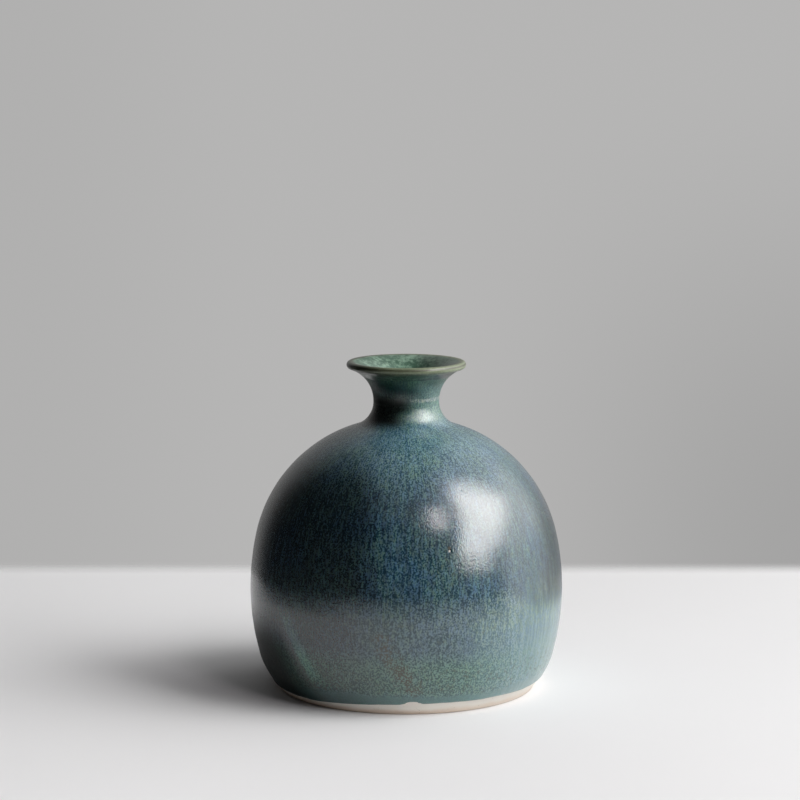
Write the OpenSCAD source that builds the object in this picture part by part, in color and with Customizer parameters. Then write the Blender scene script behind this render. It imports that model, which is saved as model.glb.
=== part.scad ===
// Bud vase in glazed stoneware: a low round body, a narrow neck and a flared lip.
// Millimetres, +Z up. The origin is the centre of the foot, on the surface that the vase stands on.
// Outside sizes are over the glaze. Every outline is a chain of arcs that run smoothly into one another.

/* [Body] */
// Widest diameter, at the belly
belly_d = 100; // [85:0.5:115]
// Height of the belly above the table
belly_z = 32; // [27:0.5:38]
// Radius of the long curve of the side
side_r = 79; // [66:1:95]
// Radius of the shoulder's curve
shoulder_r = 46.5; // [40:0.5:54]
// Rise from the belly to where the side turns into the shoulder
shoulder_rise = 18.5; // [12:0.5:24]
// Radius of the heel's curve
heel_r = 20.5; // [16:0.5:24]
// Drop from the belly to where the side turns into the heel
heel_drop = 21; // [17:0.5:24]

/* [Neck and lip] */
// Diameter of the neck at its narrowest
neck_d = 21; // [18:0.5:26]
// Height of the narrowest place above the crown of the shoulder's curve
neck_rise = 5.8; // [4:0.2:10]
// Height of the rim above the narrowest place
rim_rise = 12.8; // [10:0.2:18]
// Diameter of the lip
lip_d = 38; // [32:0.5:44]
// Thickness of the lip, which is fully rounded
lip_t = 2.3; // [1.8:0.1:3]

/* [Clay] */
// Thickness of the body's wall
wall_t = 4; // [3:0.25:5]
// Thickness of the neck's wall at its narrowest
neck_wall_t = 3.2; // [2.4:0.2:4]
// Thickness of the floor
floor_t = 5.5; // [4:0.5:8]
// Radius between the floor and the wall, inside
corner_r = 10; // [7:0.5:13]
// Width of the neck's skirt on the shoulder, up to the luted seam
skirt_w = 12; // [3:0.5:16]

/* [Foot] */
// Lean of the trimmed bevel between the heel and the table, from upright
bevel_angle = 33; // [25:1:42]
// Width of the ring that the vase stands on
foot_w = 7; // [5:0.5:10]
// Depth of the trimmed hollow inside the ring
recess_t = 1.5; // [1:0.25:2.5]
// Radius of the foot's outer edge
foot_edge_r = 0.6; // [0.3:0.1:1]

/* [Glaze] */
// Thickness of each glaze coat
glaze_t = 0.4; // [0.3:0.05:0.6]
// Distance that the outer coat runs down the bevel
glaze_run = 1.7; // [1:0.1:2.5]
// Drop from the middle of the lip to where the liner coat ends outside
lip_band = 3; // [2:0.25:5]

/* [Quality] */
// Largest distance between a true curve and its facets
curve_tol = 0.02; // [0.005:0.005:0.05]
// Largest turn between two facets, in degrees
max_turn = 16; // [5:1:30]

/* [Hidden] */
$fn = 144;

// Colours of the fired clay and of the two glazes
clay_colour = "#d3c8b6";
liner_colour = "#84977f";
outer_colour = "#41596a";

// A direction in the outline's plane, and the angle from one point to another
function toward(a) = [cos(a), sin(a)];
function angle_to(from, to) = atan2(to.y - from.y, to.x - from.x);

// Points along an arc, with as many steps as its curve needs and at most max_turn degrees in each
function arc(centre, r, start, end) =
    let (step = min(max_turn, 2 * acos(1 - curve_tol / r)), n = ceil(abs(end - start) / step))
    [for (i = [0:n]) centre + r * toward(start + (end - start) * i / n)];

// The same points in the other direction
function back(points) = [for (i = [len(points) - 1:-1:0]) points[i]];

// A closed outline from a list of runs, each point kept once where two runs meet
function outline(runs) =
    let (p = [for (run = runs) each run], n = len(p))
    [for (i = [0:n - 1]) if (norm(p[i] - p[(i + n - 1) % n]) > 1e-6) p[i]];

// Body: the arcs of the heel, the side and the shoulder, each touching the next
side_c = [belly_d / 2 - side_r, belly_z];
shoulder_a = asin(shoulder_rise / side_r);
shoulder_c = side_c + (side_r - shoulder_r) * toward(shoulder_a);
heel_a = -asin(heel_drop / side_r);
heel_c = side_c + (side_r - heel_r) * toward(heel_a);

// Neck and lip: the neck stands upright at neck_z and sweeps into the shoulder and into the lip
neck_z = shoulder_c.y + shoulder_r + neck_rise;
lip_c = [lip_d - lip_t, 2 * (neck_z + rim_rise) - lip_t] / 2;

// Radius of an arc that is upright at radius r and height neck_z and touches a circle there outside.
// A minus sign on the circle's radius makes the arc pass round the circle instead.
function sweep_r(r, centre, circle_r) =
    let (a = r - centre.x, h = neck_z - centre.y)
    (a * a + h * h - circle_r * circle_r) / (2 * (circle_r - a));

nape_r = sweep_r(neck_d / 2, shoulder_c, shoulder_r);
nape_c = [neck_d / 2 + nape_r, neck_z];
nape_a = angle_to(shoulder_c, nape_c);
flare_r = sweep_r(neck_d / 2, lip_c, lip_t / 2);
flare_c = [neck_d / 2 + flare_r, neck_z];
flare_a = angle_to(flare_c, lip_c);

// Hollow: the clay's inner surface, with the same kinds of arc
inner_side_r = side_r - glaze_t - wall_t;
inner_shoulder_r = shoulder_r - glaze_t - wall_t;
bore_r = neck_d / 2 - glaze_t - neck_wall_t;
throat_r = sweep_r(bore_r, shoulder_c, inner_shoulder_r);
throat_c = [bore_r + throat_r, neck_z];
throat_a = angle_to(shoulder_c, throat_c);
mouth_r = sweep_r(bore_r, lip_c, glaze_t - lip_t / 2);
mouth_c = [bore_r + mouth_r, neck_z];
mouth_a = angle_to(mouth_c, lip_c);
floor_z = recess_t + floor_t;
corner_z = floor_z + corner_r;
corner_reach = inner_side_r - corner_r;
corner_c = [side_c.x + sqrt(pow(corner_reach, 2) - pow(corner_z - belly_z, 2)), corner_z];
corner_a = angle_to(side_c, corner_c);

// Seam between body and neck, square to the shoulder, and the place where the two coats meet
seam_a = min(nape_a, throat_a) - skirt_w / shoulder_r * 180 / PI;
band_a = 180 - asin((lip_c.y - lip_band - neck_z) / flare_r);

// Foot: the clay's bevel runs straight from the heel to the ring
bevel_top = heel_c + (heel_r - glaze_t) * toward(-bevel_angle);
foot_r = bevel_top.x - bevel_top.y * tan(bevel_angle);
ring_r = foot_r - foot_w;
foot_edge_x = foot_r - foot_edge_r * (1 - sin(bevel_angle)) / cos(bevel_angle);
glaze_end = bevel_top + (glaze_run - glaze_t) * toward(-bevel_angle - 90);

// Outside runs from the foot to the rim, at a depth below the glaze's surface
function outer_wall(depth) = [
    each arc(heel_c, heel_r - depth, -bevel_angle, heel_a),
    each arc(side_c, side_r - depth, heel_a, shoulder_a),
    each arc(shoulder_c, shoulder_r - depth, shoulder_a, seam_a)
];
function outer_neck(depth) = [
    each arc(shoulder_c, shoulder_r - depth, seam_a, nape_a),
    each arc(nape_c, nape_r + depth, nape_a + 180, 180),
    each arc(flare_c, flare_r + depth, 180, band_a)
];
function outer_lip(depth) = [
    each arc(flare_c, flare_r + depth, band_a, flare_a),
    each arc(lip_c, lip_t / 2 - depth, flare_a - 180, mouth_a)
];

// Inside runs from the rim to the middle of the floor, at a height above the clay's surface
function inner_neck(coat) = [
    each arc(mouth_c, mouth_r + coat, mouth_a, 180),
    each arc(throat_c, throat_r + coat, 180, throat_a + 180),
    each arc(shoulder_c, inner_shoulder_r - coat, throat_a, seam_a)
];
function inner_wall(coat) = [
    each arc(shoulder_c, inner_shoulder_r - coat, seam_a, shoulder_a),
    each arc(side_c, inner_side_r - coat, shoulder_a, corner_a),
    each arc(corner_c, corner_r - coat, corner_a, -90),
    [0, floor_z + coat]
];

// Underside of the clay, from the middle of the hollow to the edge of the foot
underside = [
    [0, recess_t],
    [ring_r - recess_t, recess_t],
    [ring_r, 0],
    each arc([foot_edge_x, foot_edge_r], foot_edge_r, -90, -bevel_angle)
];

// Lower edge of the outer coat, rounded down on to the bevel
glaze_edge = arc(glaze_end, glaze_t, -bevel_angle - 90, -bevel_angle);

// A solid turned on the wheel from a list of runs
module turned(runs) {
    rotate_extrude() polygon(outline(runs));
}

// Thrown body: floor, foot ring, wall and shoulder, open where the neck is luted on
module clay_body() {
    color(clay_colour) turned([underside, outer_wall(glaze_t), inner_wall(0)]);
}

// Neck with its skirt and its flared lip, seated on the seam of the body
module clay_neck() {
    color(clay_colour) turned([outer_neck(glaze_t), outer_lip(glaze_t), inner_neck(0)]);
}

// Coat that lines the hollow and the neck and laps over the lip
module liner_glaze() {
    skin = [outer_lip(0), inner_neck(glaze_t), inner_wall(glaze_t)];
    bed = [back(inner_wall(0)), back(inner_neck(0)), back(outer_lip(glaze_t))];
    color(liner_colour) turned([each skin, each bed]);
}

// Coat on the outside, from the bevel up to the liner coat under the lip
module outer_glaze() {
    skin = [glaze_edge, outer_wall(0), outer_neck(0)];
    bed = [back(outer_neck(glaze_t)), back(outer_wall(glaze_t))];
    color(outer_colour) turned([each skin, each bed]);
}

clay_body();
clay_neck();
liner_glaze();
outer_glaze();
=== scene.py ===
"""Bud vase in glazed stoneware: a thrown body, a jade liner glaze and a satin blue outer glaze.

Lengths are in metres, +Z up, with the origin at the centre of the foot, on the table.
Angles round the vase start at the front and grow to the right, as seen from the camera.
"""

import math

import bpy
from bpy.props import FloatProperty, FloatVectorProperty, IntProperty, PointerProperty
from mathutils import Matrix, Vector, noise


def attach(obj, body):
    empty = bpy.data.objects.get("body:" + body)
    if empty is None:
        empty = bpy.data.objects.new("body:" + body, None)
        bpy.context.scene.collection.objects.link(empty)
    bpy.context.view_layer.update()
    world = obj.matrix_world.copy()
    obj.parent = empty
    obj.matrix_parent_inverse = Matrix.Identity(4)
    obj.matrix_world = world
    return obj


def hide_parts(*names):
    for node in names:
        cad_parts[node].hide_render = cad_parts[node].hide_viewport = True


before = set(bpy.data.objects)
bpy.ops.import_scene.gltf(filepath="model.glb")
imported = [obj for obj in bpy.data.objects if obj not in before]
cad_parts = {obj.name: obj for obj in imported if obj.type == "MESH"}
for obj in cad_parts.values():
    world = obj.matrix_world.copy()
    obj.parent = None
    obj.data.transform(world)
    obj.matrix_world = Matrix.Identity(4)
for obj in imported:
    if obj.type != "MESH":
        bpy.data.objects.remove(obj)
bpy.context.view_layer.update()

bl_info = {
    "name": "Glazed bud vase",
    "version": (1, 0, 0),
    "blender": (4, 5, 0),
    "location": "3D View > Sidebar > Vase",
    "description": "Throws a stoneware bud vase, glazes it inside and out and sets it on a table",
    "category": "Add Mesh",
}

MM = 0.001

# How deep a coat sinks into the clay, and how far its sheet goes on past the line where the coats meet
COAT_BITE = 0.1 * MM
COAT_LAP = 1.6 * MM


# Properties

def length(name, description, default_mm):
    """A length property, with its default in millimetres."""
    return FloatProperty(
        name=name, description=description, default=default_mm * MM, unit="LENGTH", precision=5
    )


def angle(name, description, default_degrees):
    """An angle property, with its default in degrees."""
    return FloatProperty(
        name=name,
        description=description,
        default=math.radians(default_degrees),
        subtype="ANGLE",
        unit="ROTATION",
    )


def colour(name, description, default):
    """A colour property, as linear red, green and blue."""
    return FloatVectorProperty(
        name=name, description=description, default=default, subtype="COLOR", size=3, min=0, max=1
    )


def direction(name, description, default):
    """A direction property, as x, y and z."""
    return FloatVectorProperty(
        name=name, description=description, default=default, subtype="DIRECTION", size=3
    )


class VaseSizes(bpy.types.PropertyGroup):
    """Sizes of the vase, over the glaze"""

    belly_d: length("Belly diameter", "Widest diameter of the body", 100)
    belly_z: length("Belly height", "Height of the widest place above the table", 32)
    side_r: length("Side radius", "Radius of the long curve of the side", 79)
    shoulder_r: length("Shoulder radius", "Radius of the shoulder's curve", 46.5)
    shoulder_rise: length("Shoulder rise", "Rise from the belly to the start of the shoulder", 18.5)
    heel_r: length("Heel radius", "Radius of the heel's curve", 20.5)
    heel_drop: length("Heel drop", "Drop from the belly to the start of the heel", 21)
    neck_d: length("Neck diameter", "Diameter of the neck at its narrowest", 21)
    neck_rise: length("Neck rise", "Height of the narrowest place above the crown", 5.8)
    rim_rise: length("Rim rise", "Height of the rim above the narrowest place", 12.8)
    lip_d: length("Lip diameter", "Diameter of the flared lip", 38)
    lip_t: length("Lip thickness", "Thickness of the fully rounded lip", 2.3)
    wall_t: length("Wall", "Thickness of the body's clay wall", 4)
    neck_wall_t: length("Neck wall", "Thickness of the neck's clay wall", 3.2)
    floor_t: length("Floor", "Thickness of the clay floor", 5.5)
    corner_r: length("Corner radius", "Radius between the floor and the wall, inside", 10)
    skirt_w: length("Skirt", "Width of the neck's skirt on the shoulder", 12)
    bevel_angle: angle("Bevel", "Lean of the trimmed bevel above the foot, from upright", 33)
    foot_w: length("Foot ring", "Width of the ring that the vase stands on", 7)
    recess_t: length("Recess", "Depth of the trimmed hollow inside the ring", 1.5)
    foot_edge_r: length("Foot edge", "Radius of the foot's outer edge", 0.6)
    glaze_t: length("Glaze", "Thickness of each glaze coat", 0.4)
    glaze_run: length("Glaze run", "Distance that the outer coat runs down the bevel", 1.7)
    lip_band: length("Lip band", "Drop from the lip to where the liner coat ends outside", 3)
    turn_steps: IntProperty(name="Steps", description="Facets round the vase", default=256, min=64)


class VaseColours(bpy.types.PropertyGroup):
    """Colours of the clay and the glazes"""

    clay: colour("Clay", "Bare stoneware", (0.80, 0.762, 0.70))
    flash: colour("Flashing", "Warm tinge that the kiln leaves on bare clay", (0.68, 0.53, 0.41))
    shoulder: colour("Shoulder glaze", "Pale blue of the shoulder", (0.084, 0.166, 0.212))
    belly: colour("Belly glaze", "Blue of the coat round the belly", (0.032, 0.072, 0.097))
    waist: colour("Waist glaze", "Slate blue under the belly", (0.037, 0.080, 0.105))
    # Lightened a little past the glaze's own colour: painted reflection of the white table
    lower: colour("Lower glaze", "Grey blue between the waist and the heel", (0.049, 0.097, 0.121))
    heel: colour("Heel glaze", "Sea green of the coat above the foot", (0.060, 0.132, 0.108))
    edge: colour("Edge glaze", "Clear teal where the coat thickens at its edge", (0.060, 0.145, 0.145))
    neck: colour("Neck glaze", "Teal of the neck", (0.090, 0.180, 0.166))
    collar: colour("Collar glaze", "Dark teal where the coats meet under the lip", (0.004, 0.046, 0.047))
    line: colour("Dip line", "Pale line round the neck where a dip ended", (0.230, 0.280, 0.270))
    sage: colour("Sage", "Pale green of the lower coat on the right side", (0.134, 0.211, 0.213))
    pale_sage: colour("Pale sage", "Paler drips near the right edge", (0.165, 0.245, 0.225))
    olive: colour("Olive speck", "Yellow-green crystals in the blue", (0.080, 0.110, 0.075))
    iron: colour("Iron", "Brown where iron comes through the glaze", (0.042, 0.037, 0.023))
    jade: colour("Jade liner", "Green of the liner glaze", (0.045, 0.105, 0.070))
    pale_jade: colour("Pale jade", "Pale streaks in the liner glaze", (0.190, 0.300, 0.225))
    rim: colour("Rim", "Olive of the liner glaze on the lip", (0.150, 0.178, 0.108))


class VaseStage(bpy.types.PropertyGroup):
    """The table, the light and the camera"""

    table_front: length("Table front", "Distance from the vase to the front of the table", 260)
    table_back: length("Table back", "Distance from the vase to the back of the table", 200)
    table_half: length("Table half width", "Distance from the vase to the sides of the table", 200)
    table_t: length("Table top", "Thickness of the table top", 30)
    table_white: colour("Table", "Matt white of the table", (0.773, 0.778, 0.791))
    backdrop: colour("Backdrop", "Plain grey behind the table", (0.466, 0.463, 0.460))
    window_turn: angle("Window turn", "Angle of the window's middle to the right of the front", 62.5)
    window_lift: angle("Window lift", "Angle of the window's middle above the table", 24.3)
    window_reach: length("Window reach", "Distance from the vase to the middle of the window", 4435)
    window_up: direction("Window up", "Direction of the window's height", (-0.524, 0.803, 0.284))
    window_face: direction("Window face", "Direction that the window faces", (-0.305, 0.135, -0.943))
    window_w: length("Window width", "Width of the window", 2304)
    window_h: length("Window tall", "Height of the window", 5192)
    window_glow: FloatProperty(
        name="Window glow", description="Radiance of the window", default=7.1, min=0
    )
    camera_back: length("Camera distance", "Distance of the camera in front of the axis", 887)
    camera_up: length("Camera height", "Height of the camera above the table", 219)
    camera_side: length("Camera side", "Offset of the camera to the right of the axis", -2)
    camera_tilt: angle("Camera tilt", "Angle that the camera looks down", 8.14)
    camera_lens: FloatProperty(
        name="Lens", description="Focal length in millimetres, on a 36 mm sensor", default=126.8
    )


# The section of the vase

def toward(turn):
    """The direction at an angle in the plane of the section."""
    return Vector((math.cos(turn), math.sin(turn)))


def angle_to(here, there):
    """The angle from one point of the section to another."""
    return math.atan2(there.y - here.y, there.x - here.x)


def arc(centre, radius, start, end, gap=1.2 * MM):
    """Points along an arc, no further apart than the gap and turning little between neighbours."""
    most_turn = math.radians(9)
    count = math.ceil(abs(end - start) / min(gap / radius, most_turn))
    return [centre + radius * toward(start + (end - start) * i / count) for i in range(count + 1)]


def line(start, end, gap):
    """Points along a straight line, no further apart than the gap."""
    count = math.ceil((end - start).length / gap)
    return [start.lerp(end, i / count) for i in range(count + 1)]


def joined(*runs):
    """One run of points from several, each point kept once where two of them meet."""
    points = [p for run in runs for p in run]
    return [p for p, last in zip(points, [None] + points) if last is None or (p - last).length > 1e-7]


class Section:
    """Half of the vase's section, as radius and height: arcs that run smoothly into one another."""

    def __init__(self, size):
        self.size = size
        # Body: the arcs of the heel, the side and the shoulder
        self.side_c = Vector((size.belly_d / 2 - size.side_r, size.belly_z))
        self.shoulder_a = math.asin(size.shoulder_rise / size.side_r)
        self.shoulder_c = self.side_c + (size.side_r - size.shoulder_r) * toward(self.shoulder_a)
        self.heel_a = -math.asin(size.heel_drop / size.side_r)
        self.heel_c = self.side_c + (size.side_r - size.heel_r) * toward(self.heel_a)
        # Neck and lip: upright at neck_z, swept into the shoulder and into the lip
        self.neck_z = self.shoulder_c.y + size.shoulder_r + size.neck_rise
        lip_z = self.neck_z + size.rim_rise - size.lip_t / 2
        self.lip_c = Vector(((size.lip_d - size.lip_t) / 2, lip_z))
        neck_r = size.neck_d / 2
        self.nape_r, self.nape_c = self.sweep(neck_r, self.shoulder_c, size.shoulder_r)
        self.nape_a = angle_to(self.shoulder_c, self.nape_c)
        self.flare_r, self.flare_c = self.sweep(neck_r, self.lip_c, size.lip_t / 2)
        self.flare_a = angle_to(self.flare_c, self.lip_c)
        # Hollow: the clay's inner surface
        self.inner_side_r = size.side_r - size.glaze_t - size.wall_t
        self.inner_shoulder_r = size.shoulder_r - size.glaze_t - size.wall_t
        bore_r = neck_r - size.glaze_t - size.neck_wall_t
        self.throat_r, self.throat_c = self.sweep(bore_r, self.shoulder_c, self.inner_shoulder_r)
        self.throat_a = angle_to(self.shoulder_c, self.throat_c)
        self.mouth_r, self.mouth_c = self.sweep(bore_r, self.lip_c, size.glaze_t - size.lip_t / 2)
        self.mouth_a = angle_to(self.mouth_c, self.lip_c)
        self.floor_z = size.recess_t + size.floor_t
        corner_z = self.floor_z + size.corner_r
        reach = math.sqrt((self.inner_side_r - size.corner_r) ** 2 - (corner_z - size.belly_z) ** 2)
        self.corner_c = Vector((self.side_c.x + reach, corner_z))
        self.corner_a = angle_to(self.side_c, self.corner_c)
        # Seam of the neck, meeting of the two coats, and the bevel above the foot
        self.seam_a = min(self.nape_a, self.throat_a) - size.skirt_w / size.shoulder_r
        self.band_z = self.lip_c.y - size.lip_band
        self.bevel_top = self.heel_c + (size.heel_r - size.glaze_t) * toward(-size.bevel_angle)
        self.foot_r = self.bevel_top.x - self.bevel_top.y * math.tan(size.bevel_angle)

    def sweep(self, radius, centre, circle_r):
        """Radius and centre of the arc that is upright at neck_z and touches a circle."""
        a = radius - centre.x
        h = self.neck_z - centre.y
        sweep_r = (a * a + h * h - circle_r * circle_r) / (2 * (circle_r - a))
        return sweep_r, Vector((radius + sweep_r, self.neck_z))

    def bevel(self, depth, run):
        """The point on the bevel, at a depth under the glaze and a distance down from the heel."""
        top = self.heel_c + (self.size.heel_r - depth) * toward(-self.size.bevel_angle)
        return top + run * toward(-self.size.bevel_angle - math.pi / 2)

    def outer_wall(self, depth, top):
        """Outside from the heel up to an angle on the shoulder, at a depth under the glaze."""
        size = self.size
        return joined(
            arc(self.heel_c, size.heel_r - depth, -size.bevel_angle, self.heel_a),
            arc(self.side_c, size.side_r - depth, self.heel_a, self.shoulder_a),
            arc(self.shoulder_c, size.shoulder_r - depth, self.shoulder_a, top),
        )

    def outer_neck(self, depth, top_z):
        """Outside of the neck from the nape up to a height on the flare."""
        end = math.pi - math.asin((top_z - self.neck_z) / (self.flare_r + depth))
        return joined(
            arc(self.nape_c, self.nape_r + depth, self.nape_a + math.pi, math.pi, 0.8 * MM),
            arc(self.flare_c, self.flare_r + depth, math.pi, end, 0.5 * MM),
        )

    def lip(self, depth, low_z):
        """From a height under the lip, over the lip, to its inner edge."""
        start = math.pi - math.asin((low_z - self.neck_z) / (self.flare_r + depth))
        lip_r = self.size.lip_t / 2 - depth
        return joined(
            arc(self.flare_c, self.flare_r + depth, start, self.flare_a, 0.25 * MM),
            arc(self.lip_c, lip_r, self.flare_a - math.pi, self.mouth_a, 0.15 * MM),
        )

    def inside(self, coat):
        """Inside from the lip's inner edge down to the middle of the floor."""
        size = self.size
        shoulder_r = self.inner_shoulder_r - coat
        corner_r = size.corner_r - coat
        floor_z = self.floor_z + coat
        return joined(
            arc(self.mouth_c, self.mouth_r + coat, self.mouth_a, math.pi, 0.5 * MM),
            arc(self.throat_c, self.throat_r + coat, math.pi, self.throat_a + math.pi, 0.8 * MM),
            arc(self.shoulder_c, shoulder_r, self.throat_a, self.shoulder_a, 1.6 * MM),
            arc(self.side_c, self.inner_side_r - coat, self.shoulder_a, self.corner_a, 2 * MM),
            arc(self.corner_c, corner_r, self.corner_a, -math.pi / 2, 1.5 * MM),
            line(Vector((self.corner_c.x, floor_z)), Vector((0, floor_z)), 2 * MM),
        )

    def underside(self):
        """Underside from its middle to the bevel: a turned hollow, the foot ring and its edge."""
        size = self.size
        ring_r = self.foot_r - size.foot_w
        hollow_r = ring_r - size.recess_t
        edge_r = size.foot_edge_r
        edge_x = self.foot_r - edge_r * (1 - math.sin(size.bevel_angle)) / math.cos(size.bevel_angle)
        # Tool marks: shallow grooves that the trimming tool leaves on its way in
        groove, depth = 1.4 * MM, 0.12 * MM
        marks = []
        for i in range(int(hollow_r / groove)):
            marks.append(Vector((i * groove, size.recess_t)))
            marks.append(Vector(((i + 0.35) * groove, size.recess_t + depth)))
        slope_top = Vector((hollow_r + 0.3 * MM, size.recess_t - 0.15 * MM))
        return joined(
            marks,
            [Vector((hollow_r, size.recess_t))],
            line(slope_top, Vector((ring_r, 0)), 0.5 * MM),
            line(Vector((ring_r + 0.3 * MM, 0)), Vector((edge_x, 0)), 1.5 * MM),
            arc(Vector((edge_x, edge_r)), edge_r, -math.pi / 2, -size.bevel_angle, 0.12 * MM),
        )


# Modelling

def throw(name, points, steps):
    """Draws a section point by point, its outside on the right, and turns it into a round mesh."""
    bpy.ops.object.select_all(action="DESELECT")
    bpy.ops.mesh.primitive_plane_add(size=MM)
    piece = bpy.context.object
    piece.name = name
    piece.data.name = name
    bpy.ops.object.mode_set(mode="EDIT")
    bpy.ops.mesh.select_mode(type="VERT")
    bpy.ops.mesh.select_all(action="SELECT")
    bpy.ops.mesh.merge(type="CENTER")
    here = Vector((0, 0))
    for count, there in enumerate(points):
        step = (there.x - here.x, 0, there.y - here.y)
        if count == 0:
            bpy.ops.transform.translate(value=step)
        else:
            bpy.ops.mesh.extrude_region_move(TRANSFORM_OT_translate={"value": step})
        here = there
    bpy.ops.object.mode_set(mode="OBJECT")
    close = 0.003 * MM
    turn = piece.modifiers.new("turn", "SCREW")
    turn.steps = steps
    turn.render_steps = steps
    turn.use_merge_vertices = True
    turn.merge_threshold = close
    bpy.ops.object.modifier_apply(modifier=turn.name)
    bpy.ops.object.mode_set(mode="EDIT")
    bpy.ops.mesh.select_all(action="SELECT")
    bpy.ops.mesh.remove_doubles(threshold=close)
    bpy.ops.mesh.normals_make_consistent(inside=False)
    bpy.ops.object.mode_set(mode="OBJECT")
    if not faces_right(piece, points):
        bpy.ops.object.mode_set(mode="EDIT")
        bpy.ops.mesh.flip_normals()
        bpy.ops.object.mode_set(mode="OBJECT")
    return piece


def faces_right(piece, points):
    """Whether a thrown mesh faces the right-hand side of the section that it was drawn from."""
    start, step = points[1], points[2] - points[1]
    middle = start + step / 2
    face = min(
        piece.data.polygons,
        key=lambda f: (Vector((f.center.xy.length, f.center.z)) - middle).length_squared,
    )
    outward = face.normal.xy.dot(face.center.xy.normalized())
    return Vector((outward, face.normal.z)).dot(Vector((step.y, -step.x))) > 0


def thicken(piece, thickness, thickness_at):
    """Gives a thrown sheet its coat, outwards, as thick as thickness_at says at each vertex."""
    least = 0.004
    group = piece.vertex_groups.new(name="coat")
    for vertex in piece.data.vertices:
        share = thickness_at(vertex) / thickness
        group.add([vertex.index], min(max(share, least), 1), "REPLACE")
    solid = piece.modifiers.new("coat", "SOLIDIFY")
    solid.thickness = thickness
    solid.offset = 1
    solid.vertex_group = group.name
    bpy.ops.object.modifier_apply(modifier=solid.name)
    piece.vertex_groups.clear()


def sink_pit(piece, place, share):
    """Sinks a pinhole, of a size up to 1, into the face nearest to a place: a dish, then a pit."""
    bpy.ops.object.mode_set(mode="EDIT")
    bpy.ops.mesh.select_mode(type="FACE")
    bpy.ops.mesh.select_all(action="DESELECT")
    bpy.ops.object.mode_set(mode="OBJECT")
    face = min(piece.data.polygons, key=lambda f: (f.center - place).length_squared)
    face.select = True
    bpy.ops.object.mode_set(mode="EDIT")
    # Each step in millimetres: how far it draws in and how deep it goes
    steps = ((0.02 + 0.25 * (1 - share), 0.03), (0.16, 0.16 * share), (0.14, 0.2 * share))
    for inward, depth in steps:
        bpy.ops.mesh.inset(thickness=inward * MM, depth=-depth * MM)
    bpy.ops.object.mode_set(mode="OBJECT")


def finish_piece(piece, material, node, crease=math.radians(40)):
    """Smooths a piece, gives it its material and sets it in the frame in place of its node."""
    bpy.ops.object.select_all(action="DESELECT")
    piece.select_set(True)
    bpy.context.view_layer.objects.active = piece
    bpy.ops.object.shade_smooth_by_angle(angle=crease)
    piece.data.materials.clear()
    piece.data.materials.append(material)
    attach(piece, "root")
    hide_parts(node)


def ease(value, low, high):
    """A smooth step from 0 at low to 1 at high."""
    t = min(max((value - low) / (high - low), 0), 1)
    return t * t * (3 - 2 * t)


def ripple(place, scale, seed):
    """Smooth noise from -1 to 1, with bumps about as wide as the scale."""
    return noise.noise(place / scale + Vector((seed, 0, 0)))


def lap_level(place):
    """Height of a place above the foot, shifted so that the line where the coats meet is uneven."""
    return place.z + 0.5 * MM * ripple(place, 3 * MM, 2.2)


def aim(turn, lift=0):
    """The direction at an angle round the vase, from the front and growing to the right, and a lift."""
    return Vector((math.sin(turn) * math.cos(lift), -math.cos(turn) * math.cos(lift), math.sin(lift)))


def turn_of(place):
    """The angle of a place round the vase, from the front, growing to the right."""
    return math.atan2(place.x, -place.y)


# Shader recipes

class Socket:
    """A shader socket in an expression: each operator and each step adds its node."""

    def __init__(self, recipe, output):
        self.recipe = recipe
        self.output = output

    def maths(self, operation, first, second):
        """Adds a Math node."""
        return self.recipe.node("ShaderNodeMath", {"operation": operation}, {0: first, 1: second})

    def __add__(self, other):
        return self.maths("ADD", self, other)

    def __sub__(self, other):
        return self.maths("SUBTRACT", self, other)

    def __rsub__(self, other):
        return self.maths("SUBTRACT", other, self)

    def __mul__(self, other):
        return self.maths("MULTIPLY", self, other)

    def __truediv__(self, other):
        return self.maths("DIVIDE", self, other)

    def __pow__(self, other):
        return self.maths("POWER", self, other)

    __radd__ = __add__
    __rmul__ = __mul__

    def between(self, low, high):
        """A smooth step from 0 at low to 1 at high."""
        settings = {"interpolation_type": "SMOOTHSTEP"}
        sockets = {"Value": self, "From Min": low, "From Max": high}
        return self.recipe.node("ShaderNodeMapRange", settings, sockets)

    def band(self, foot, low, high, top):
        """A smooth hill: 0 at its foot, 1 from low to high, and 0 again at its top end."""
        return self.between(foot, low) * self.between(top, high)


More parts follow.
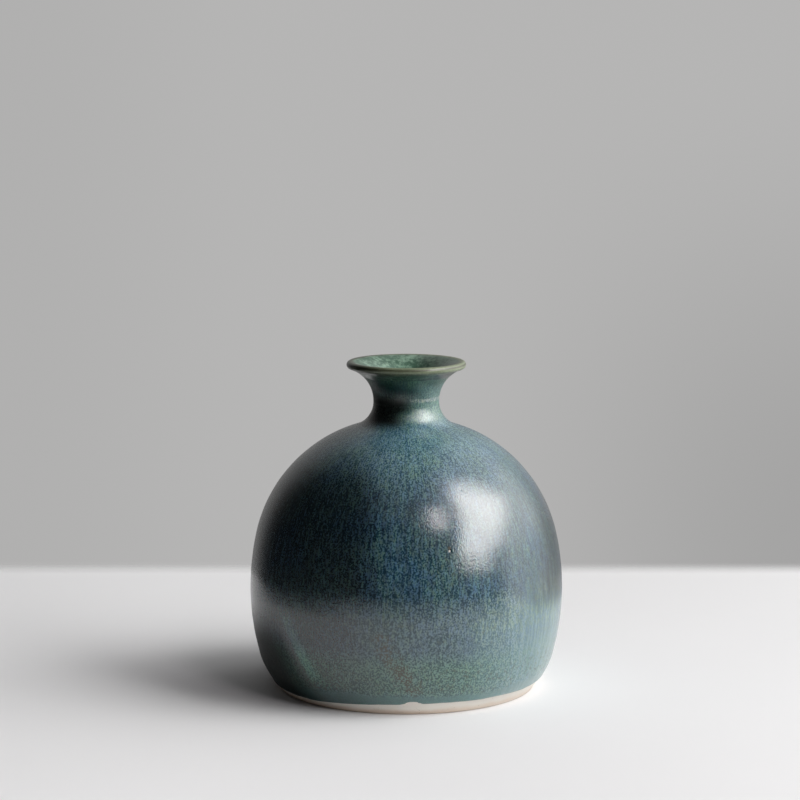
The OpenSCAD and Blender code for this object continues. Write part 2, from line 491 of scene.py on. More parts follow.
class Recipe:
    """A node tree under construction, for a material or for the world."""

    def __init__(self, owner):
        owner.use_nodes = True
        self.tree = owner.node_tree
        self.tree.nodes.clear()

    def node(self, kind, settings=None, sockets=None, output=0):
        """Adds a node, makes its settings, then fills or links its sockets, and gives one output."""
        made = self.tree.nodes.new(kind)
        for name, setting in (settings or {}).items():
            if name == "stops":
                self.set_stops(made.color_ramp, setting)
            else:
                setattr(made, name, setting)
        for name, value in (sockets or {}).items():
            if isinstance(value, Socket):
                self.tree.links.new(value.output, made.inputs[name])
            else:
                made.inputs[name].default_value = value
        if len(made.outputs) == 0:
            return None
        return Socket(self, made.outputs[output])

    @staticmethod
    def set_stops(ramp, stops):
        """Puts a ramp's stops in place, each a position and a colour."""
        while len(ramp.elements) < len(stops):
            ramp.elements.new(1)
        for element, (position, _) in zip(ramp.elements, stops):
            element.position = position
        for element, (_, shade) in zip(ramp.elements, stops):
            element.color = (*shade, 1)

    def place(self):
        """Object coordinates in millimetres."""
        metres = self.node("ShaderNodeTexCoord", output="Object")
        return self.vector("SCALE", {0: metres, "Scale": 1 / MM})

    def vector(self, operation, sockets, output=0):
        """Adds a Vector Math node."""
        return self.node("ShaderNodeVectorMath", {"operation": operation}, sockets, output)

    def split(self, place):
        """The x, y and z of a vector."""
        axes = ("X", "Y", "Z")
        return [self.node("ShaderNodeSeparateXYZ", None, {"Vector": place}, axis) for axis in axes]

    def grain(self, place, size, stretch=(1, 1, 1), detail=2.0, rough=0.5, shift=0.0):
        """Noise from 0 to 1, with grains of a size in millimetres and stretched along the axes."""
        scale = tuple(1 / (size * s) for s in stretch)
        moved = self.vector("MULTIPLY_ADD", {0: place, 1: scale, 2: (shift, shift, shift)})
        sockets = {"Vector": moved, "Scale": 1.0, "Detail": detail, "Roughness": rough}
        return self.node("ShaderNodeTexNoise", None, sockets)

    def mix(self, factor, first, second):
        """A colour between two, at a factor from 0 to 1."""
        sockets = {0: factor, 6: self.as_colour(first), 7: self.as_colour(second)}
        return self.node("ShaderNodeMix", {"data_type": "RGBA"}, sockets, 2)

    def scaled(self, shade, factor):
        """A colour made lighter or darker."""
        return self.vector("SCALE", {0: shade, "Scale": factor})

    def tinted(self, shade, tint):
        """A colour with each of its channels multiplied."""
        return self.vector("MULTIPLY", {0: shade, 1: tint})

    def near(self, place, centre, reach):
        """1 at a point given in millimetres, falling to 0 at the reach."""
        apart = self.vector("DISTANCE", {0: place, 1: centre}, "Value")
        return 1 - apart.between(0.3 * reach, reach)

    def near_line(self, place, start, end, reach):
        """1 on a line between two points given in millimetres, falling to 0 at the reach."""
        start, end = Vector(start), Vector(end)
        along = (end - start).normalized()
        offset = self.vector("SUBTRACT", {0: place, 1: tuple(start)})
        run = self.vector("DOT_PRODUCT", {0: offset, 1: tuple(along)}, "Value")
        limits = {"Value": run, "Min": 0.0, "Max": (end - start).length}
        held = self.node("ShaderNodeClamp", None, limits)
        on_line = self.vector("SCALE", {0: tuple(along), "Scale": held})
        apart = self.vector("DISTANCE", {0: offset, 1: on_line}, "Value")
        return 1 - apart.between(0.2 * reach, reach)

    @staticmethod
    def as_colour(shade):
        """A colour with its alpha, or the socket that gives it."""
        if isinstance(shade, Socket):
            return shade
        return (*shade, 1)

    def surface(self, sockets, other=None, factor=0):
        """A Principled shader on the material's output, or a mix of two by a factor from 0 to 1."""
        shader = self.node("ShaderNodeBsdfPrincipled", None, sockets)
        if other:
            second = self.node("ShaderNodeBsdfPrincipled", None, other)
            shader = self.node("ShaderNodeMixShader", None, {0: factor, 1: shader, 2: second})
        self.node("ShaderNodeOutputMaterial", None, {"Surface": shader})

    def bump(self, height, depth_mm):
        """A normal from a height of 0 to 1 that stands for a depth in millimetres."""
        sockets = {"Height": height, "Distance": depth_mm * MM, "Strength": 1.0}
        return self.node("ShaderNodeBump", None, sockets)


class OuterGlaze:
    """Satin blue glaze on the outside, in millimetres: each step adds one feature to its colour."""

    # A slanting line on the lower left: a plane, by its normal and its distance from the foot
    dip_normal = (0.620, -0.628, 0.469)
    dip_offset = 10.2
    # A broken brown smear at the front, from its top to its foot, and its reach to either side
    smear_top = (-7.8, -48.9, 24.5)
    smear_foot = (1.8, -46.3, 9.8)
    smear_reach = 4.6
    # Painted shade, in the iron's colour, on the upper side of the largest pinhole
    painted_pit_shade = (13.0, -45.2, 53.1)
    pit_reach = 0.8

    def __init__(self, shades, section):
        self.shades = shades
        self.section = section
        self.material = bpy.data.materials.new("satin_blue_glaze")
        self.recipe = Recipe(self.material)
        self.place = self.recipe.place()
        self.x, self.y, self.z = self.recipe.split(self.place)
        self.fall = self.fall_line()
        self.grains()
        self.masks()

    def fall_line(self):
        """Coordinates that follow the fall of the glaze: round the vase, and down along its outline."""
        x, y, z = self.x, self.y, self.z
        spread, nape_z = 44, 86
        radius = (x * x + y * y) ** 0.5
        centre = self.section.shoulder_c / MM
        slope = x.maths("ARCTAN2", z - centre.y, radius - centre.x)
        drop = self.section.size.shoulder_r / MM * slope + x.maths("MAXIMUM", z - nape_z, 0.0)
        sockets = {"X": spread * x / radius, "Y": spread * y / radius, "Z": drop}
        return self.recipe.node("ShaderNodeCombineXYZ", None, sockets)

    def grains(self):
        """Noise that several steps share: a slow wander, clouds, runs, needles and dust."""
        grain = self.recipe.grain
        self.wander = grain(self.place, 14, (1, 1, 1.6), shift=3.1) - 0.5
        self.clouds = grain(self.place, 11, (1, 1, 1.4), detail=3, shift=1.3)
        self.runs = grain(self.fall, 1.1, (1, 1, 9), detail=2.5, rough=0.6, shift=7.7)
        self.needles = grain(self.fall, 0.42, (1, 1, 1.5), detail=0.6)
        self.dust = grain(self.place, 0.47, detail=0.6, shift=5.2)

    def masks(self):
        """Where the coat is green; where it is painted darker on the left and grows thinner; where it is
        streaked; and where it is clear of specks.
        """
        x, z, wander = self.x, self.z, self.wander
        # Green shows through in runs, less towards the foot
        self.green = (0.55 * self.runs + 0.45 * self.clouds).between(0.45, 0.58)
        self.green *= 1 - 0.6 * z.between(26, 18)
        # On the left, away from the window, the coat is darkened: painted shade. From the belly to the
        # shoulder it is thin there too.
        upper = z.between(33, 42)
        self.left = (x + 8 * wander).between(-3, -18) * upper
        self.left += (x + 16 * wander).between(8, -30) * (1 - upper)
        self.thin_and_shaded = self.left * z.between(82, 68) * (0.4 + 0.6 * upper)
        # Distance past the slanting line, the streak along it, and the side beyond it, where painted
        # shade darkens the coat
        along = self.recipe.vector("DOT_PRODUCT", {0: self.place, 1: self.dip_normal}, "Value")
        self.past = along - self.dip_offset + 1.5 * wander
        lower_left = x.between(-12, -18)
        self.streak = self.past.band(-2.0, -0.4, 0.8, 5.2) * z.band(7, 14, 25, 34) * lower_left
        self.shaded_beyond = z.between(31, 17) * lower_left
        # The thick edge of the coat, which is clear of specks
        self.clear = (z + 4 * wander).between(7.6, 5.8)

    def finish(self):
        """The finished material."""
        base = self.zoned()
        base = self.clouded(base)
        base = self.sided(base)
        base = self.necked(base)
        base = self.streaked(base)
        shown = self.speckled(base)
        shown = self.rusted(shown)
        self.glazed(shown)
        return self.material

    def zoned(self):
        """The coat's colour by height, on a line that wanders a little."""
        shades = self.shades
        zones = (
            (4.2, 6.2, shades.edge),
            (8.0, 16.5, shades.heel),
            # The lower zone's colour holds some painted reflection of the table
            (22, 31, shades.lower),
            (37, 48, shades.waist),
            (60, 66, shades.belly),
            (81, 85, shades.shoulder),
            (88, 93, shades.neck),
            (96, 97.6, shades.collar),
        )
        lip_foot = 100.4
        top = self.section.band_z / MM
        stops = [(mm / top, shade) for low, high, shade in zones for mm in (low, high)]
        stops.append((lip_foot / top, shades.heel))
        height = (self.z + 7 * self.wander) / top
        return self.recipe.node("ShaderNodeValToRGB", {"stops": stops}, {"Fac": height})

    def clouded(self, base):
        """Purer blue in clouds, green in runs, and lighter and darker run marks on belly and neck."""
        recipe, z = self.recipe, self.z
        bluer, greener = (0.85, 0.96, 1.09), (0.99, 1.05, 0.89)
        blue = self.clouds.between(0.52, 0.36) * z.band(34, 42, 70, 80)
        base = recipe.mix(blue, base, recipe.tinted(base, bluer))
        base = recipe.mix(self.green, base, recipe.tinted(base, greener))
        feathers = 0.55 * z.band(30, 42, 62, 78) + 0.3 * z.between(86, 90)
        return recipe.scaled(base, 1 + (self.runs.between(0.32, 0.68) - 0.5) * feathers)

    def sided(self, base):
        """Pale green with drips on the lower right and dark at the right edge; darker on the left and
        the lower left, which is painted shade.
        """
        recipe, x, z = self.recipe, self.x, self.z
        drips = self.runs.between(0.40, 0.62)
        level = z + 8 * x.between(30, 46)
        right = x.between(14, 36) * level.between(41, 34)
        base = recipe.mix(right * (0.5 + 0.4 * drips), base, self.shades.sage)
        stripe = x.band(40, 42, 46, 48) * z.between(46, 34)
        base = recipe.mix(stripe * (0.1 + 0.5 * drips), base, self.shades.pale_sage)
        edge = x.between(38, 46) * z.between(27, 37)
        base = recipe.scaled(base, 1 - 0.6 * edge)
        lower_right = x.between(10, 24) * z.between(34, 27)
        base = recipe.scaled(base, 1 + 0.14 * lower_right)
        # Darker on the lower left, and on the left as a whole, away from the window: painted shade
        lower_left = x.between(-12, -20) * z.band(18, 23, 30, 36)
        base = recipe.scaled(base, 1 - 0.25 * lower_left)
        return recipe.scaled(base, 1 - 0.32 * self.left - 0.38 * self.thin_and_shaded)

    def necked(self, base):
        """The neck: painted shade on its left and painted light on its right, with a pale line where a
        dip ended.
        """
        recipe, x, z = self.recipe, self.x, self.z
        # Darker on the left, away from the window: painted shade
        side = x - 2.5 * z.between(88.5, 91)
        dark = z.between(83.5, 87) * side.between(3, -5) * (0.95 - 0.55 * z.between(93, 95.5))
        base = recipe.scaled(base, 1 - dark)
        # Paler, towards the neck's teal, on the right, towards the window: painted light
        light = x.between(1, 8) * z.band(92.5, 95, 97, 99.5)
        base = recipe.mix(0.78 * light, base, self.shades.neck)
        # The pale line fades out on the left, under the painted shade
        ring = (z + 2 * self.wander).band(92.5, 93.1, 93.5, 94.2)
        return recipe.mix(ring * (0.04 + 0.76 * x.between(-1, 6)), base, self.shades.line)

    def streaked(self, base):
        """A pale streak along the slanting line on the lower left, and painted shade on the far side of
        it.
        """
        recipe, past = self.recipe, self.past
        paler = (1.75, 2.3, 2.1)
        base = recipe.mix(self.streak, base, recipe.tinted(base, paler))
        # Painted shade on the far side of the line, on the lower left
        painted_shade_fade = 0.3 * past.between(-0.6, -3.2) + 0.55 * past.between(-4.5, -14)
        return recipe.scaled(base, 1 - painted_shade_fade * self.shaded_beyond)

    def speckled(self, base):
        """Needles, dust and long drips, dark blue to pale grey, and olive crystals."""
        recipe = self.recipe
        darkest, bluest, greenest = (0.03, 0.32, 0.42), (1.82, 1.62, 1.78), (2.08, 1.75, 1.38)
        self.mottle = self.speck_strength()
        hue = recipe.grain(self.fall, 0.6, (1, 1, 2.5), detail=1.0, shift=3.9).between(0.42, 0.58)
        hue *= 1 - 0.5 * self.z.between(30, 20)
        pale = recipe.mix(hue, recipe.tinted(base, bluest), recipe.tinted(base, greenest))
        shown = recipe.mix(self.mottle, recipe.tinted(base, darkest), pale)
        crystals = recipe.grain(self.fall, 0.9, (1, 1, 1.6), detail=1.0, shift=9.4)
        # Fewer olive crystals on the left, so that its painted shade stays dark
        olive = crystals.between(0.60, 0.70) * (0.3 + 0.7 * self.green) * (1 - 0.7 * self.left)
        shown = recipe.mix(0.45 * olive, shown, self.shades.olive)
        return recipe.mix(0.85 * self.clear, shown, base)

    def speck_strength(self):
        """0 in a dark speck and 1 in a pale one: strongest on the belly, soft on the right."""
        x, z = self.x, self.z
        drips = self.recipe.grain(self.fall, 0.50, (1, 1, 6), detail=0.6, shift=6.6)
        wet = 0.28 * z.between(14, 26)
        specks = (0.34 * self.needles + (0.66 - wet) * self.dust + wet * drips).between(0.39, 0.61)
        vivid = 1.0 + 0.25 * z.band(22, 38, 70, 78)
        calm = 1 - x.between(40, 18) * (1 - 0.5 * z.between(84, 88))
        smooth = 0.5 * self.streak + 0.3 * x.between(12, 22) * z.between(38, 32)
        smooth += 0.4 * x.between(32, 39) * z.band(8, 14, 38, 46)
        return 0.5 + (specks - 0.5) * (vivid - 0.6 * calm + 0.4 * self.thin_and_shaded) * (1 - smooth)

    def rusted(self, shown):
        """Iron in specks above the foot and in the smear, and painted shade in the iron's colour on the
        upper side of the largest pinhole.
        """
        recipe, place, iron = self.recipe, self.place, self.shades.iron
        rust = recipe.grain(place, 0.9, (1, 1, 1.2), detail=1.5, shift=2.6).between(0.58, 0.68)
        shown = recipe.mix(0.5 * rust * self.z.between(21, 11) * (1 - self.clear), shown, iron)
        smear = recipe.near_line(place, self.smear_top, self.smear_foot, self.smear_reach)
        patchy = recipe.grain(place, 2.6, (1, 1, 1.3), shift=8.8).between(0.36, 0.56)
        broken = 0.15 + 0.8 * self.mottle.between(0.75, 0.3)
        shown = recipe.mix(smear * patchy * broken, shown, iron)
        # Painted shade in the iron's colour, on the upper side of the largest pinhole
        return recipe.mix(0.9 * recipe.near(place, self.painted_pit_shade, self.pit_reach), shown, iron)

    def glazed(self, shown):
        """Satin gloss and a soft coat, duller on the neck, at the right edge and past the streak."""
        x, z, needles = self.x, self.z, self.needles
        gloss = 0.19 + 0.06 * (needles - 0.5) + 0.04 * (self.clouds - 0.5) + 0.10 * z.between(89, 92)
        grit = self.recipe.bump(0.65 * needles + 0.35 * self.dust, 0.06)
        glossy = {
            "Base Color": shown,
            "Roughness": gloss,
            "IOR": 1.8,
            "Coat Weight": 0.5 - 0.32 * self.thin_and_shaded - 0.25 * z.between(86, 90),
            "Coat Roughness": 0.5,
            "Coat IOR": 1.4,
            "Normal": grit,
        }
        dull = {"Base Color": shown, "Roughness": 0.45 + 0.1 * needles, "IOR": 1.25, "Normal": grit}
        dullness = 0.9 * self.shaded_beyond * self.past.between(-1, -7) + 0.45 * z.between(90, 92.5)
        dullness += 0.4 * z.between(84, 88) * x.between(-1, -5)
        dullness += 0.4 * x.between(32, 45) * z.band(26, 34, 50, 62)
        self.recipe.surface(glossy, dull, dullness)


def liner_glaze_finish(shades, section):
    """Jade liner glaze: pale streaks down the throat, olive and brown on the lip, teal under it."""
    material = bpy.data.materials.new("jade_liner_glaze")
    recipe = Recipe(material)
    place = recipe.place()
    x, y, z = recipe.split(place)
    radius = (x * x + y * y) ** 0.5

    streaks = recipe.grain(place, 1.2, (1, 1, 2.5), detail=4, rough=0.65, shift=4.4)
    clouds = recipe.grain(place, 6, shift=8.2)
    specks = recipe.grain(place, 0.5, detail=1.5)
    worn = recipe.grain(place, 1.3, shift=6.3)
    lip_r, lip_z = section.lip_c / MM

    # Pale streaks on jade. Lighter in the throat on the left, which faces the window: painted light.
    # Darker on the right: painted shade.
    pale = (0.6 * streaks + 0.4 * clouds).between(0.44, 0.62)
    shown = recipe.mix(pale, shades.jade, shades.pale_jade)
    shown = recipe.scaled(shown, 0.75 + 0.5 * specks)
    throat = z.between(lip_z - 1.4, lip_z - 3.6)
    shown = recipe.scaled(shown, 1 + 0.6 * throat * x.between(5, -6))
    shown = recipe.scaled(shown, 1 - 0.5 * x.between(1, 7))

    # On the lip the coat thins to olive, with brown on its upper edge and in a line outside
    on_lip = radius.between(lip_r - 1.6, lip_r - 0.2)
    # Lighter on the right of the lip, towards the window: painted highlight
    olive = recipe.scaled(tuple(shades.rim), (0.7 + 0.6 * specks) * (1 + 0.25 * x.between(1, 8)))
    shown = recipe.mix(0.9 * on_lip, shown, olive)
    upper_edge = z.between(lip_z + 0.35, lip_z + 0.75) * radius.between(lip_r + 0.4, lip_r - 0.2)
    shown = recipe.mix(0.55 * worn.between(0.40, 0.62) * upper_edge * on_lip, shown, shades.iron)
    brown_line = z.band(lip_z, lip_z + 0.25, lip_z + 0.55, lip_z + 0.75)
    brown_line *= radius.between(lip_r, lip_r + 0.4)
    shown = recipe.mix((0.45 + 0.5 * worn) * brown_line, shown, shades.iron)
    # Darker on the left of the lip, away from the window: painted shade
    shown = recipe.scaled(shown, 1 - 0.65 * x.between(-4, -15) * on_lip)

    # Under the lip, outside, it darkens into the teal of the outer coat; it is darker still on the left,
    # away from the window, which is painted shade
    outside = (radius - 1.2 * (z - lip_z)).between(lip_r - 2.2, lip_r - 1.0)
    outer = outside * z.between(lip_z - 0.5, lip_z - 1.0)
    shown = recipe.scaled(shown, 1 - outer * (0.2 + 0.4 * x.between(-2, -10)))
    under = outer * (z + 1.5 * (specks - 0.5)).between(lip_z - 2.4, lip_z - 4.2)
    # The teal is darker on the left: painted shade
    teal = recipe.scaled(tuple(shades.collar), 1 - 0.5 * x.between(3, -6))
    shown = recipe.mix(0.8 * under, shown, teal)
    shown = recipe.scaled(shown, 1 - 0.5 * outer * specks.between(0.58, 0.42))

    gloss = 0.33 + 0.12 * (clouds - 0.5)
    recipe.surface(
        {
            "Base Color": shown,
            "Roughness": gloss,
            "IOR": 1.5,
            "Coat Weight": 0.3,
            "Coat Roughness": 0.2,
            "Normal": recipe.bump(0.5 * specks + 0.5 * streaks, 0.03),
        }
    )
    return material


def stoneware_finish(shades):
    """Bare stoneware: fine sand, trimming lines and a warm flash towards the table."""
    material = bpy.data.materials.new("bare_stoneware")
    recipe = Recipe(material)
    place = recipe.place()
    x, _, z = recipe.split(place)
    sand = recipe.grain(place, 0.35)
    clouds = recipe.grain(place, 7, (1, 1, 0.6), detail=3, shift=2.2)
    lines = recipe.grain(place, 0.5, (60, 60, 1), detail=1, shift=1.1)
    # Darker on the right, which faces the window: painted shade. It is less flashed there too
    right = x.between(4, 32)
    warm = (z + 1.8 * (clouds - 0.5)).between(2.4, 0.5)
    shown = recipe.mix(0.75 * warm * (1 - 0.35 * right), shades.clay, shades.flash)
    contact = (z + 0.4 * (clouds - 0.5)).between(0.5, 0.15)
    shown = recipe.mix(0.22 * contact, shown, shades.iron)
    # Painted shade on the right, which faces the window
    shown = recipe.scaled(shown, 1 - 0.22 * right)
    shown = recipe.scaled(shown, 0.95 + 0.05 * sand + 0.04 * lines)
    specks = recipe.grain(place, 0.8, detail=1, shift=5.5).between(0.70, 0.76)
    shown = recipe.mix(0.25 * specks, shown, shades.iron)
    recipe.surface(
        {
            "Base Color": shown,
            "Roughness": 0.78 + 0.12 * (sand - 0.5),
            "IOR": 1.45,
            "Normal": recipe.bump(0.6 * sand + 0.4 * lines, 0.015),
        }
    )
    return material


# Operators

class VASE_OT_clay(bpy.types.Operator):
    """Throws the clay body with its turned foot, and gives the clay its finish"""

    bl_idname = "vase.clay"
    bl_label = "Throw clay body"

    def execute(self, context):
        size = context.scene.vase_sizes
        section = Section(size)
        points = joined(
            section.underside(),
            section.outer_wall(size.glaze_t, section.seam_a),
            self.inner_wall(section),
        )
        body = throw("stoneware_body", points, size.turn_steps)
        clay = stoneware_finish(context.scene.vase_colours)
        finish_piece(body, clay, "clay_body", math.radians(30))
        # The coats hide the neck's clay, so its node stays and only takes the finish
        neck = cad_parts["clay_neck"]
        for slot in neck.material_slots:
            slot.material = clay
        return {"FINISHED"}

    @staticmethod
    def inner_wall(section):
        """Inside of the body, from the neck's seam to the middle of the floor."""
        inside = section.inside(0)
        seam = section.shoulder_c + section.inner_shoulder_r * toward(section.seam_a)
        return [seam] + [p for p in inside if p.y < seam.y - 0.2 * MM]


class VASE_OT_outer_glaze(bpy.types.Operator):
    """Coats the outside, from a wavy edge on the bevel up to the liner coat under the lip"""

    bl_idname = "vase.outer_glaze"
    bl_label = "Glaze the outside"

    # How much thicker the coat is at its lower edge
    bead = 0.09 * MM
    # The edge hangs lower on the left of the front: by how much, and the angles where that sets in
    hang = 1.9 * MM
    hang_right = (math.radians(4), math.radians(-46))
    hang_left = (math.radians(-125), math.radians(-80))
    # A small notch in the edge at the front: its angle, its depth, and from where to where it sets in
    notch_turn = math.radians(2.4)
    notch = 1.1 * MM
    notch_reach = (3.6 * MM, 0.8 * MM)
    # Pinholes: x, y and z in millimetres, and how large each is, up to 1
    pinholes = (
        (12.6, -45.5, 52.6, 1.0),
        (28.4, -40.6, 23.8, 0.3),
        (-18.7, -3.5, 83.1, 0.5),
        (16.8, -34.9, 68.8, 0.2),
    )

    def execute(self, context):
        size = context.scene.vase_sizes
        section = Section(size)
        depth = size.glaze_t + COAT_BITE
        # The sheet reaches below the lowest place of the edge
        lowest = size.glaze_run + 2.6 * MM
        points = joined(
            line(section.bevel(depth, lowest), section.bevel(depth, 0), 0.16 * MM),
            section.outer_wall(depth, section.nape_a),
            section.outer_neck(depth, section.band_z + COAT_LAP),
        )
        coat = throw("satin_outer_glaze", points, size.turn_steps)
        thicken(coat, depth + self.bead, lambda v: self.thickness(section, v.co))
        for x, y, z, share in self.pinholes:
            sink_pit(coat, Vector((x, y, z)) * MM, share)
        finish = OuterGlaze(context.scene.vase_colours, section).finish()
        finish_piece(coat, finish, "outer_glaze")
        return {"FINISHED"}

    def edge_run(self, section, place):
        """How far down the bevel the coat reaches, at the angle of a place."""
        turn = turn_of(place)
        ring = aim(turn)
        run = section.size.glaze_run + 0.15 * MM + 0.35 * MM * ripple(ring, 0.33, 1.7)
        run += 0.14 * MM * ripple(ring, 0.09, 4.1)
        hang = self.hang * ease(turn, *self.hang_right) * ease(turn, *self.hang_left)
        reach = abs(turn - self.notch_turn) * section.foot_r
        return run + hang - self.notch * ease(reach, *self.notch_reach)

    def thickness(self, section, place):
        """Thickness of the coat at a place: rounded and beaded at its edge, thinning under the liner."""
        full = section.size.glaze_t + COAT_BITE
        run = (section.bevel_top.y - place.z) / math.cos(section.size.bevel_angle)
        above = self.edge_run(section, place) - run
        if above <= 0:
            return 0
        round_r, bead_z, bead_w = 0.5 * MM, 0.9 * MM, 0.6 * MM
        rise = math.sqrt(1 - (1 - min(above / round_r, 1)) ** 2)
        bead = self.bead * math.exp(-(((above - bead_z) / bead_w) ** 2))
        # Slow unevenness, and rings that the wheel left
        uneven = 0.05 * MM * (1 + ripple(place, 13 * MM, 9.3))
        uneven += 0.012 * MM * (1 + math.cos(place.z / (1.1 * MM)))
        lap = ease(lap_level(place), section.band_z, section.band_z + 1.4 * MM)
        return ((full - uneven * ease(above, 2 * MM, 6 * MM)) * (1 - lap) + bead) * rise


class VASE_OT_liner_glaze(bpy.types.Operator):
    """Coats the inside and the lip, and laps over the outer coat under the lip"""

    bl_idname = "vase.liner_glaze"
    bl_label = "Glaze the inside"

    def execute(self, context):
        size = context.scene.vase_sizes
        section = Section(size)
        points = joined(
            section.lip(size.glaze_t + COAT_BITE, section.band_z - COAT_LAP),
            section.inside(-COAT_BITE),
        )
        coat = throw("jade_liner_glaze", points, size.turn_steps)
        # The most that the coat can need, with room for the bead at its end
        most = 1.05 * (size.glaze_t + COAT_BITE)
        thicken(coat, most, lambda v: self.thickness(section, v))
        finish = liner_glaze_finish(context.scene.vase_colours, section)
        finish_piece(coat, finish, "liner_glaze")
        return {"FINISHED"}

    def thickness(self, section, vertex):
        """Thickness of the coat at a vertex: it fades out under the lip and is uneven inside."""
        place = vertex.co
        full = section.size.glaze_t + COAT_BITE
        outward = vertex.normal.x * place.x + vertex.normal.y * place.y
        if outward > 0 and place.z < section.lip_c.y:
            level = lap_level(place)
            bead = 0.04 * ease(level, section.band_z + 2 * MM, section.band_z)
            return full * (1 + bead) * ease(level, section.band_z - 1.2 * MM, section.band_z)
        lip_z = section.lip_c.y
        uneven = 0.07 * MM * (1 + ripple(place, 9 * MM, 5.5))
        return full - 0.02 * MM - uneven * ease(place.z, lip_z - 1 * MM, lip_z - 5 * MM)


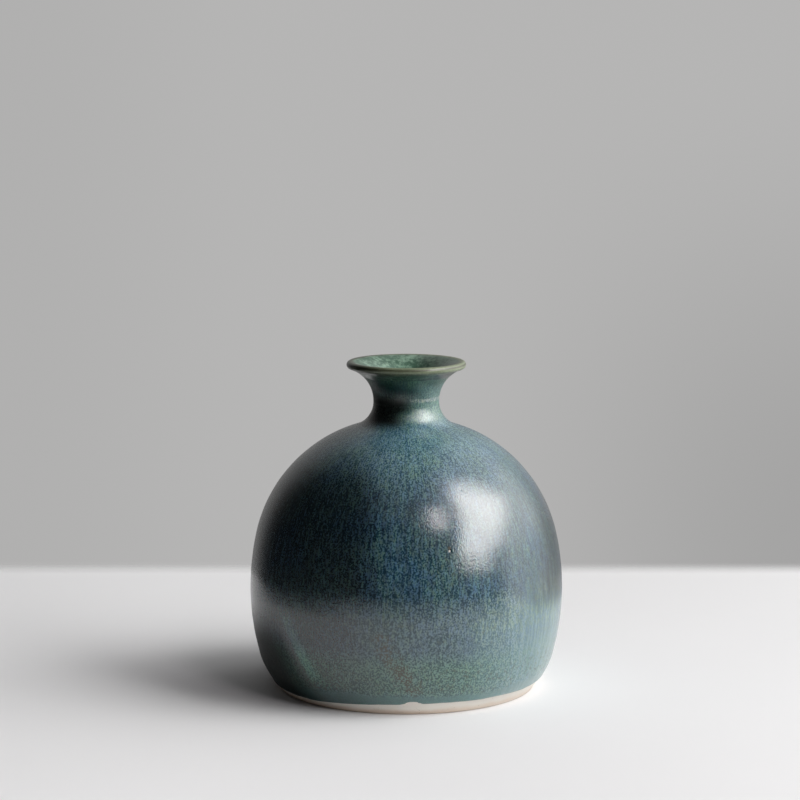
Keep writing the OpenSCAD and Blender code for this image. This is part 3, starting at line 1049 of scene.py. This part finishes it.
class VASE_OT_stage(bpy.types.Operator):
    """Sets the table, the window light, the grey room and the camera"""

    bl_idname = "vase.stage"
    bl_label = "Set the stage"

    def execute(self, context):
        stage = context.scene.vase_stage
        self.table(stage)
        self.window(stage)
        self.room(context.scene, stage)
        self.camera(context.scene, stage)
        context.scene.view_settings.view_transform = "Standard"
        return {"FINISHED"}

    def table(self, stage):
        """A matt white table top, whose far edge melts into the backdrop."""
        bpy.ops.object.select_all(action="DESELECT")
        depth = stage.table_front + stage.table_back
        bpy.ops.mesh.primitive_cube_add(size=1)
        top = bpy.context.object
        top.name = "table_top"
        bpy.ops.object.mode_set(mode="EDIT")
        bpy.ops.mesh.select_all(action="SELECT")
        bpy.ops.transform.resize(value=(2 * stage.table_half, depth, stage.table_t))
        bpy.ops.transform.translate(
            value=(0, (stage.table_back - stage.table_front) / 2, -stage.table_t / 2)
        )
        bpy.ops.mesh.bevel(offset=4 * MM, segments=4, affect="EDGES")
        bpy.ops.object.mode_set(mode="OBJECT")
        bpy.ops.object.shade_smooth_by_angle(angle=math.radians(30))
        material = bpy.data.materials.new("matt_white_table")
        recipe = Recipe(material)
        place = recipe.place()
        mottle = recipe.grain(place, 90, detail=3)
        back = stage.table_back / MM
        x, y, _ = recipe.split(place)
        # Random mottle, and lighter towards the left: painted light that evens out the window's fall-off
        # across the table
        mottle_and_painted_light = 0.965 + 0.03 * mottle + 0.09 * x.between(40, -110)
        shown = recipe.scaled(tuple(stage.table_white), mottle_and_painted_light)
        recipe.surface(
            {
                "Base Color": shown,
                "Roughness": 0.7 + 0.1 * (mottle - 0.5),
                "IOR": 1.4,
                "Specular IOR Level": 0.1,
                "Alpha": y.between(back - 4, back - 28),
            }
        )
        top.data.materials.append(material)

    def window(self, stage):
        """A leaning window on the right, brightest along one side, and a small pink pane."""
        white, pink = (1.0, 0.985, 0.97), (1.0, 0.92, 0.95)
        up = Vector(stage.window_up).normalized()
        face = Vector(stage.window_face).normalized()
        middle = stage.window_reach * aim(stage.window_turn, stage.window_lift)
        across = up.cross(-face).normalized()
        glow = stage.window_glow
        # The light of three panes adds up: they start at one side, one close in front of another.
        # Each has a name, and its width, height, rise and glow as shares of the window's
        gap = 10 * MM
        panes = (
            ("window_wide", 1.28, 1.05, 0.02, 0.40),
            ("window", 1.0, 0.97, -0.02, 0.34),
            ("window_narrow", 0.72, 0.90, 0.015, 0.26),
        )
        for count, (name, width, height, rise, share) in enumerate(panes):
            size = Vector((width * stage.window_w, height * stage.window_h))
            shift = (size.x - stage.window_w) / 2 * across + rise * stage.window_h * up
            self.pane(name, middle + shift + count * gap * face, face, up, size, share * glow, white)
        # The small pane stands nearer, further to the front and higher up
        out = aim(math.radians(30), math.radians(44))
        reach, small, share = 1700 * MM, Vector((300, 420)) * MM, 0.86
        self.pane("window_side", reach * out, -out, Vector((0, 0, 1)), small, share * glow, pink)

    def pane(self, name, middle, face, up, size, glow, tint):
        """A soft lamp in the shape of a pane, turned by the way that it faces and its upward side."""
        across = up.cross(-face).normalized()
        axes = Matrix((across, (-face).cross(across), -face)).transposed()
        bpy.ops.object.light_add(type="AREA", location=middle, rotation=axes.to_euler())
        lamp = bpy.context.object
        lamp.name = name
        lamp.data.shape = "RECTANGLE"
        lamp.data.size, lamp.data.size_y = size
        # The power that gives a flat lamp this radiance
        lamp.data.energy = math.pi * size.x * size.y * glow
        lamp.data.color = tint
        lamp.visible_camera = False

    def room(self, scene, stage):
        """Grey behind, bright on the right and above, dim in front. The camera sees plain grey."""
        world = bpy.data.worlds.new("room")
        scene.world = world
        recipe = Recipe(world)
        toward_room = recipe.node("ShaderNodeTexCoord", output="Generated")
        x, y, z = recipe.split(toward_room)
        behind = y.between(0.35, 0.85) * x.between(-0.9, -0.45)
        beside = y.between(-0.35, -0.1) * x.between(0.1, 0.3) * (1 - 0.9 * y.between(0.45, 0.85))
        wall = beside * (1.5 + 0.7 * z.between(0.0, 0.3)) * z.between(0.8, 0.5)
        above = 0.16 * x.between(-0.55, -0.15) + x.between(0.15, 0.55)
        ceiling = above * z.between(0.6, 0.82)
        glow = 0.012 + 0.28 * behind + wall + ceiling
        lit = recipe.node("ShaderNodeBackground", None, {"Color": (1, 0.99, 0.98, 1), "Strength": glow})
        # The plain grey is a little darker low on the right and at the left: painted shade on the
        # backdrop
        painted_backdrop_shade = 0.20 * x.between(0.0, 0.15) * z.between(-0.02, -0.19)
        painted_backdrop_shade += 0.06 * x.between(-0.04, -0.14)
        grey = recipe.scaled(tuple(stage.backdrop), 1 - painted_backdrop_shade)
        plain = recipe.node("ShaderNodeBackground", None, {"Color": grey})
        camera_ray = recipe.node("ShaderNodeLightPath", output="Is Camera Ray")
        shown = recipe.node("ShaderNodeMixShader", None, {0: camera_ray, 1: lit, 2: plain})
        recipe.node("ShaderNodeOutputWorld", None, {"Surface": shown})

    def camera(self, scene, stage):
        """A camera in front of the vase, looking down a little."""
        place = (stage.camera_side, -stage.camera_back, stage.camera_up)
        tilt = (math.pi / 2 - stage.camera_tilt, 0, 0)
        bpy.ops.object.camera_add(location=place, rotation=tilt)
        camera = bpy.context.object
        camera.data.sensor_width = 36
        camera.data.lens = stage.camera_lens
        scene.camera = camera


class VASE_PT_panel(bpy.types.Panel):
    """Sizes, colours and steps of the vase"""

    bl_idname = "VASE_PT_panel"
    bl_label = "Bud vase"
    bl_space_type = "VIEW_3D"
    bl_region_type = "UI"
    bl_category = "Vase"

    def draw(self, context):
        for group in (context.scene.vase_sizes, context.scene.vase_colours, context.scene.vase_stage):
            box = self.layout.box()
            for name in group.__annotations__:
                box.prop(group, name)
        for operator in OPERATORS:
            self.layout.operator(operator.bl_idname)


GROUPS = {"vase_sizes": VaseSizes, "vase_colours": VaseColours, "vase_stage": VaseStage}
OPERATORS = (VASE_OT_clay, VASE_OT_outer_glaze, VASE_OT_liner_glaze, VASE_OT_stage)


def register():
    for cls in (*GROUPS.values(), *OPERATORS, VASE_PT_panel):
        bpy.utils.register_class(cls)
    for name, group in GROUPS.items():
        setattr(bpy.types.Scene, name, PointerProperty(type=group))


def unregister():
    for name in GROUPS:
        delattr(bpy.types.Scene, name)
    for cls in (VASE_PT_panel, *reversed(OPERATORS), *reversed(GROUPS.values())):
        bpy.utils.unregister_class(cls)


def main():
    register()
    bpy.ops.vase.clay()
    bpy.ops.vase.outer_glaze()
    bpy.ops.vase.liner_glaze()
    bpy.ops.vase.stage()


if __name__ == "__main__":
    main()
